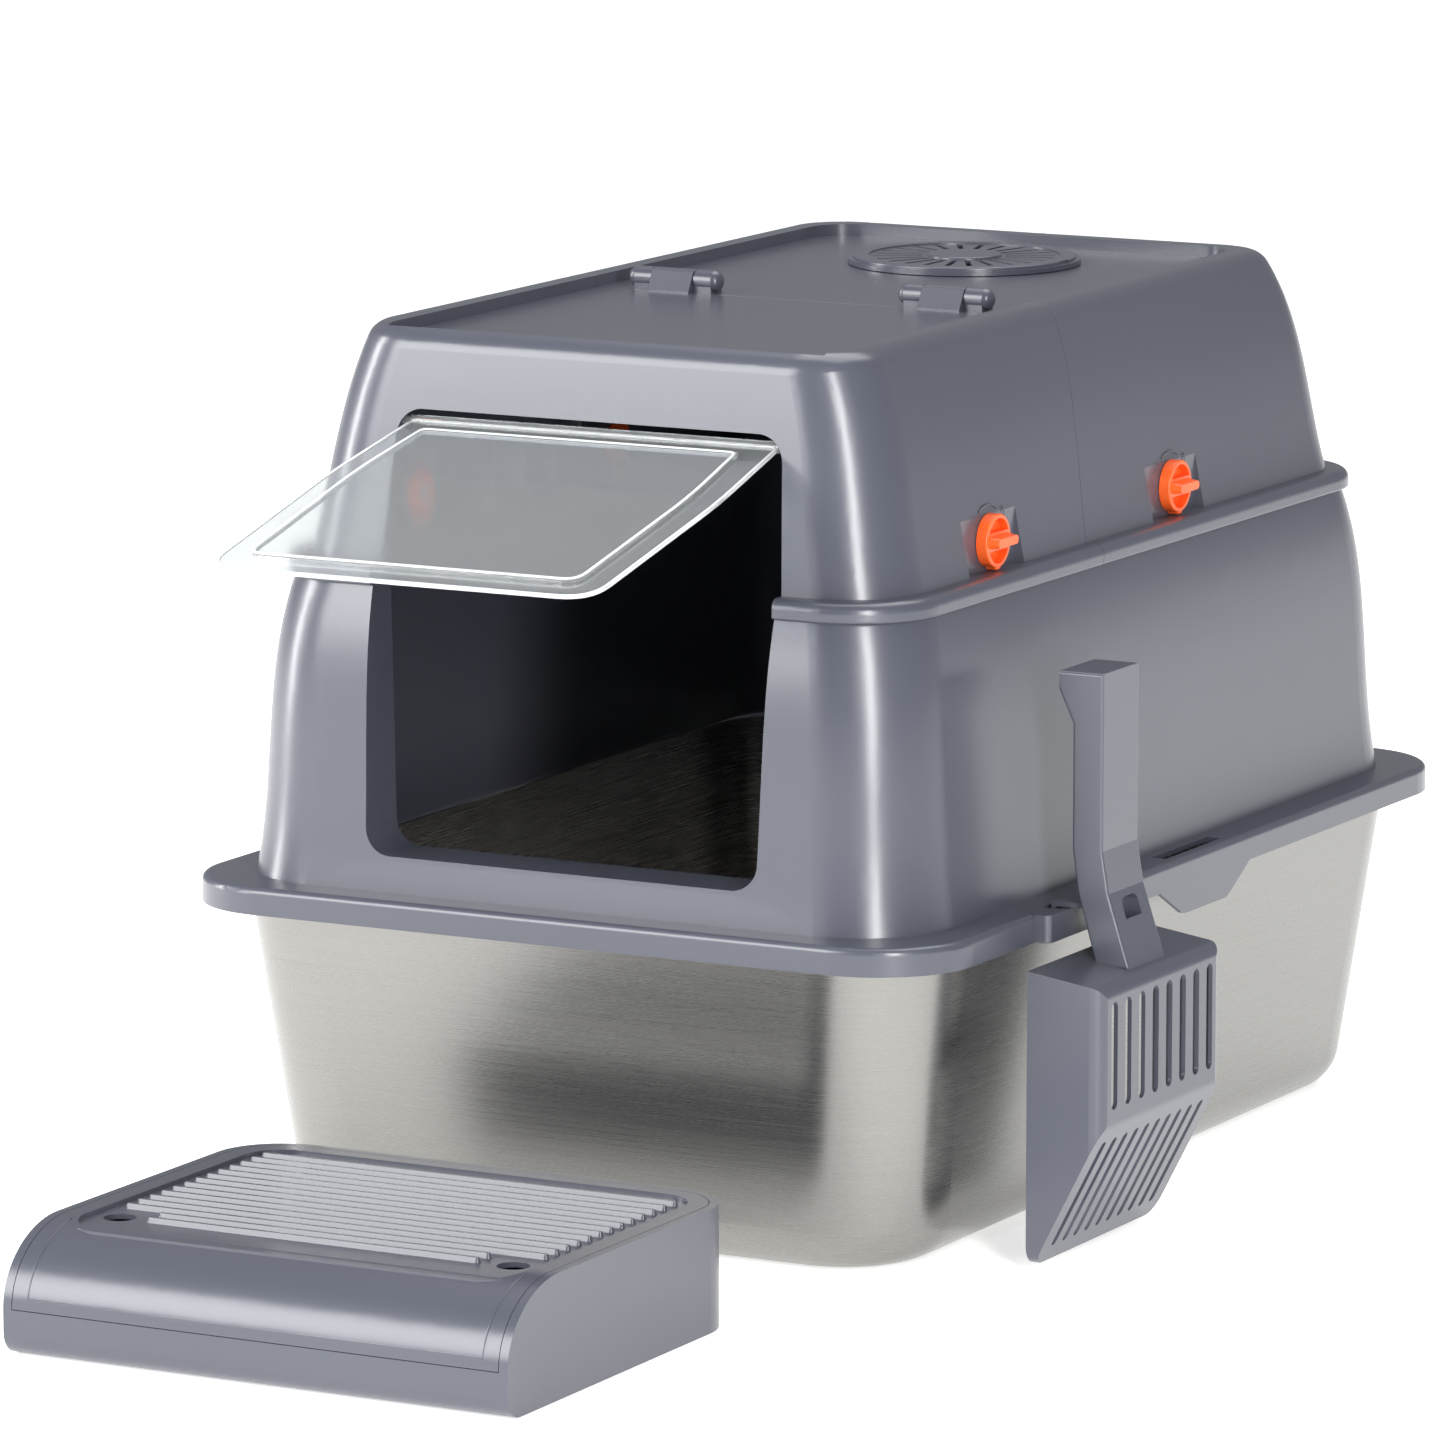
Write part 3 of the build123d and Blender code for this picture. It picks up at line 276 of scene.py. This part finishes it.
def needledCarbonFelt():
    material, tree, shader, place = startMaterial("needledCarbonFelt")
    fibre = addNode(tree, "ShaderNodeTexNoise", {"in:Scale": 1000 / carbonFelt["fibre"], "in:Detail": 6.0,
                                                 "in:Distortion": 1.5}, Vector=place)
    tone = addNode(tree, "ShaderNodeMix", {"data_type": "RGBA", "in:6": hexColour(carbonFelt["dark"]),
                                           "in:7": hexColour(carbonFelt["pale"])}, _0=fibre.outputs["Fac"])
    tree.links.new(tone.outputs[2], shader.inputs["Base Color"])
    bump = addNode(tree, "ShaderNodeBump", {"in:Strength": carbonFelt["bump"], "in:Distance": carbonFelt["height"]},
                   Height=fibre.outputs["Fac"])
    tree.links.new(bump.outputs[0], shader.inputs["Normal"])
    shader.inputs["Roughness"].default_value = carbonFelt["roughness"]
    return material


slateMaterial = mouldedSlateAbs()
stainlessMaterial = brushedStainlessSheet()
orangeMaterial = mouldedOrangeAbs()
clearMaterial = mouldedClearStyrene()
frostedMaterial = frostedStyreneEdge()
steelMaterial = zincPlatedSteel()
feltMaterial = needledCarbonFelt()
finishes = {"stainless_sheet": stainlessMaterial, "slate_plastic": slateMaterial, "orange_plastic": orangeMaterial,
            "clear_plastic": clearMaterial, "pin_steel": steelMaterial, "screw_steel": steelMaterial,
            "carbon_felt": feltMaterial}
for part in frame["record"]["subparts"]:
    carried = nodes[part["node"]]
    carried.data.materials.clear()
    carried.data.materials.append(finishes[part["material_slot"]])
print("materials made")


# ---- floor
floorSize = {"half": 40.0, "drop": 0.0004, "colour": "#f4f4f2", "roughness": 0.9, "shine": 0.1,
             "glow": (0.6, 1.0), "fade": (2.5, 12.0)}


def layFloor():
    material, tree, shader, place = startMaterial("paintedFloor")
    shader.inputs["Base Color"].default_value = hexColour(floorSize["colour"])
    shader.inputs["Roughness"].default_value = floorSize["roughness"]
    shader.inputs["Specular IOR Level"].default_value = floorSize["shine"]
    shader.inputs["Emission Color"].default_value = (1, 1, 1, 1)
    away = addNode(tree, "ShaderNodeVectorMath", {"operation": "LENGTH"}, _0=place)
    glow = addNode(tree, "ShaderNodeMapRange", {"in:From Min": floorSize["fade"][0],
                                                "in:From Max": floorSize["fade"][1],
                                                "in:To Min": floorSize["glow"][0],
                                                "in:To Max": floorSize["glow"][1]},
                   Value=away.outputs["Value"])      # the floor stays white where the lamps don't reach
    tree.links.new(glow.outputs[0], shader.inputs["Emission Strength"])
    half = floorSize["half"]
    sheet = bpy.data.meshes.new("floor")
    sheet.from_pydata([(-half, -half, 0), (half, -half, 0), (half, half, 0), (-half, half, 0)], [], [(0, 1, 2, 3)])
    sheet.materials.append(material)
    floor = bpy.data.objects.new("floor", sheet)
    scene.collection.objects.link(floor)
    floor.location.z = -floorSize["drop"]


layFloor()


# ---- small pieces on the hood, flap and step
def addPiece(name, verts, faces, material, body):
    mesh = bpy.data.meshes.new(name)
    mesh.from_pydata([Vector(v) * mm for v in verts], [], faces)
    mesh.validate()
    mesh.materials.append(material)
    for face in mesh.polygons:
        face.use_smooth = True
    piece = bpy.data.objects.new(name, mesh)
    scene.collection.objects.link(piece)
    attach(piece, body)
    return piece


def beadMesh(path, across, outward, width, height, closed=False):
    # a rounded bead along a path; across and outward are directions at each point
    profile = [(cos(a), sin(a)) for a in [pi * k / 6 for k in range(7)]] + [(-1.0, -0.8), (1.0, -0.8)]
    verts, faces, count = [], [], len(profile)
    for point, side, out in zip(path, across, outward):
        for u, v in profile:
            verts.append(Vector(point) + Vector(side) * (u * width / 2) + Vector(out) * (v * height))
    rings = len(path) if closed else len(path) - 1
    for i in range(rings):
        j = (i + 1) % len(path)
        for k in range(count):
            m = (k + 1) % count
            faces.append((i * count + k, i * count + m, j * count + m, j * count + k))
    if not closed:
        faces.append(tuple(reversed(range(count))))
        faces.append(tuple((len(path) - 1) * count + k for k in range(count)))
    return verts, faces


latchMark = {"faceX": 164.8, "y": {"front": -152.0, "rear": 59.0}, "z": 351.5, "arcR": 17.8, "arc": 34,
             "bead": 0.7, "rise": 0.3, "lockR": 20.5, "lockAngle": 52, "lock": (3.2, 2.4), "lockBead": 0.5,
             "lockDrop": 1, "shackle": (1.1, 1.3), "shackleBead": 0.45, "openLift": 0.9}


def latchMarks(place, sideName):
    side = -1 if sideName == "left" else 1
    x, y, z = side * latchMark["faceX"], latchMark["y"][place], latchMark["z"]
    out = (side, 0, 0)
    verts, faces = [], []

    def addBead(points, closed=False, width=latchMark["bead"]):
        n = len(points)
        path, across = [], []
        for i, (u, v) in enumerate(points):
            a = points[(i - 1) % n if closed else max(i - 1, 0)]
            b = points[(i + 1) % n if closed else min(i + 1, n - 1)]
            along = Vector((0, b[0] - a[0], b[1] - a[1])).normalized()
            path.append((x, y + u, z + v))
            across.append(along.cross(Vector(out)))
        newVerts, newFaces = beadMesh(path, across, [out] * n, width, latchMark["rise"], closed)
        start = len(verts)
        verts.extend(newVerts)
        faces.extend(tuple(start + i for i in face) for face in newFaces)

    arc = [radians(-latchMark["arc"] + 2 * latchMark["arc"] * k / 16) for k in range(17)]
    addBead([(latchMark["arcR"] * sin(a), latchMark["arcR"] * cos(a)) for a in arc])
    half, low = latchMark["lock"][0] / 2, latchMark["lock"][1] / 2
    for end in (-1, 1):        # a closed padlock at one end of the arc and an open one at the other
        a = radians(end * latchMark["lockAngle"])
        cu, cv = latchMark["lockR"] * sin(a), latchMark["lockR"] * cos(a) - latchMark["lockDrop"]
        addBead([(cu - half, cv - low), (cu + half, cv - low), (cu + half, cv + low), (cu - half, cv + low)],
                True, latchMark["lockBead"])
        lift = latchMark["openLift"] if end > 0 else 0.0
        shackle = [radians(180 - 180 * k / 8) for k in range(9)]
        wide, tall = latchMark["shackle"]
        addBead([(cu + wide * cos(s), cv + low + lift + tall * sin(s)) for s in shackle],
                False, latchMark["shackleBead"])
    addPiece(f"latchMarks_{place}_{sideName}", verts, faces, slateMaterial,
             "front_hood" if place == "front" else "rear_hood")


for place in ("front", "rear"):
    for sideName in ("left", "right"):
        latchMarks(place, sideName)
print("latch marks made")

hingeCap = {"y": -26.5, "z": 454.2, "x": 78.5, "halfLength": 22.5, "radius": 5.6, "bulge": 4.6, "rings": 7,
            "steps": 24, "tip": 0.01}


def hingeCaps(sideName):
    side = -1 if sideName == "left" else 1
    verts, faces, rings, steps = [], [], hingeCap["rings"], hingeCap["steps"]
    for end in (-1, 1):
        start = len(verts)
        baseX = side * hingeCap["x"] + end * hingeCap["halfLength"]
        for i in range(rings):
            a = pi / 2 * i / (rings - 1)
            r, x = max(hingeCap["radius"] * cos(a), hingeCap["tip"]), baseX + end * hingeCap["bulge"] * sin(a)
            for k in range(steps):
                b = 2 * pi * k / steps
                verts.append((x, hingeCap["y"] + r * cos(b), hingeCap["z"] + r * sin(b)))
        for i in range(rings - 1):
            for k in range(steps):
                m = (k + 1) % steps
                inner, outer = start + i * steps, start + (i + 1) * steps
                quad = (inner + k, inner + m, outer + m, outer + k)
                faces.append(quad if end > 0 else tuple(reversed(quad)))
    addPiece(f"hingeCaps_{sideName}", verts, faces, slateMaterial, "rear_hood")


hingeCaps("left")
hingeCaps("right")

flapEdge = {"axisY": -257.5, "axisZ": 407.0, "open": 76.5, "halfTop": 104.0, "halfKink": 109.0, "halfLow": 106.5,
            "kink": 76.0, "length": 203.0, "topGap": 1.5, "topCorner": 4, "kinkCorner": 20, "corner": 18.0,
            "rimInset": 0.9, "rimBead": (2.0, 1.1), "border": 15.6, "borderCorner": 9.0, "borderBead": (1.6, 0.5),
            "rise": 3.0}


def roundedPath(corners, radii, steps=8):
    # corner points joined by straight runs, each corner turned by a smooth arc
    path, n = [], len(corners)
    for i in range(n):
        p, before, after = Vector(corners[i]), Vector(corners[i - 1]), Vector(corners[(i + 1) % n])
        if not radii[i]:
            path.append(p)
            continue
        a, b = p + (before - p).normalized() * radii[i], p + (after - p).normalized() * radii[i]
        for k in range(steps + 1):
            t = k / steps
            path.append(a * (1 - t) ** 2 + p * 2 * t * (1 - t) + b * t * t)
    return path


def flapBead(name, border, corner, lift, width, height):
    t = radians(flapEdge["open"])
    down, normal = Vector((0, -sin(t), -cos(t))), Vector((0, -cos(t), sin(t)))
    top, low = flapEdge["topGap"] + border, flapEdge["length"] - border
    corners = [(-flapEdge["halfTop"] + border, top), (flapEdge["halfTop"] - border, top),
               (flapEdge["halfKink"] - border, flapEdge["kink"]), (flapEdge["halfLow"] - border, low),
               (-flapEdge["halfLow"] + border, low), (-flapEdge["halfKink"] + border, flapEdge["kink"])]
    radii = [flapEdge["topCorner"]] * 2 + [flapEdge["kinkCorner"], corner, corner, flapEdge["kinkCorner"]]
    flat = roundedPath([Vector((u, v, 0)) for u, v in corners], radii)
    origin = Vector((0, flapEdge["axisY"], flapEdge["axisZ"]))
    points = [origin + Vector((p.x, 0, 0)) + down * p.y + normal * lift for p in flat]
    n = len(points)
    across = [(points[(i + 1) % n] - points[i - 1]).normalized().cross(normal) for i in range(n)]
    verts, faces = beadMesh(points, across, [normal] * n, width, height, True)
    return addPiece(name, verts, faces, frostedMaterial, "flap")


flapBead("flapRim", flapEdge["rimInset"], flapEdge["corner"], 0.0, *flapEdge["rimBead"])
flapBead("flapRidge", flapEdge["border"], flapEdge["borderCorner"], flapEdge["rise"], *flapEdge["borderBead"])
print("hinge caps and flap edges made")

stepLine = {"middleX": 11.0, "halfX": 124.0, "front": -612.5, "depth": 50.0, "height": 38.0, "top": 61.0,
            "bead": 0.9, "rise": 0.35, "first": 0.1, "last": 0.88, "steps": 24}


def stepPanelLine():
    # thin raised line that frames the rolled front of the step's cover
    def onRoll(along):     # along runs from 0 at the low front to 1 on the deck
        a = radians(180 - 90 * along)
        centreY, centreZ = stepLine["front"] + stepLine["depth"], stepLine["top"] - stepLine["height"]
        point = Vector((0, centreY + stepLine["depth"] * cos(a), centreZ + stepLine["height"] * sin(a)))
        normal = Vector((0, cos(a) / stepLine["depth"], sin(a) / stepLine["height"])).normalized()
        return point, normal

    path, normals = [], []
    first, run, steps = stepLine["first"], stepLine["last"] - stepLine["first"], stepLine["steps"]
    ups = [first + run * k / steps for k in range(steps + 1)]
    for along in reversed(ups):
        p, n = onRoll(along)
        path.append(Vector((stepLine["middleX"] - stepLine["halfX"], p.y, p.z)))
        normals.append(n)
    for along in ups:
        p, n = onRoll(along)
        path.append(Vector((stepLine["middleX"] + stepLine["halfX"], p.y, p.z)))
        normals.append(n)
    count = len(path)
    across = [(path[min(i + 1, count - 1)] - path[max(i - 1, 0)]).normalized().cross(normals[i]) for i in range(count)]
    verts, faces = beadMesh(path, across, normals, stepLine["bead"], stepLine["rise"])
    addPiece("stepPanelLine", verts, faces, slateMaterial, "tread")


stepPanelLine()
print("step line made")
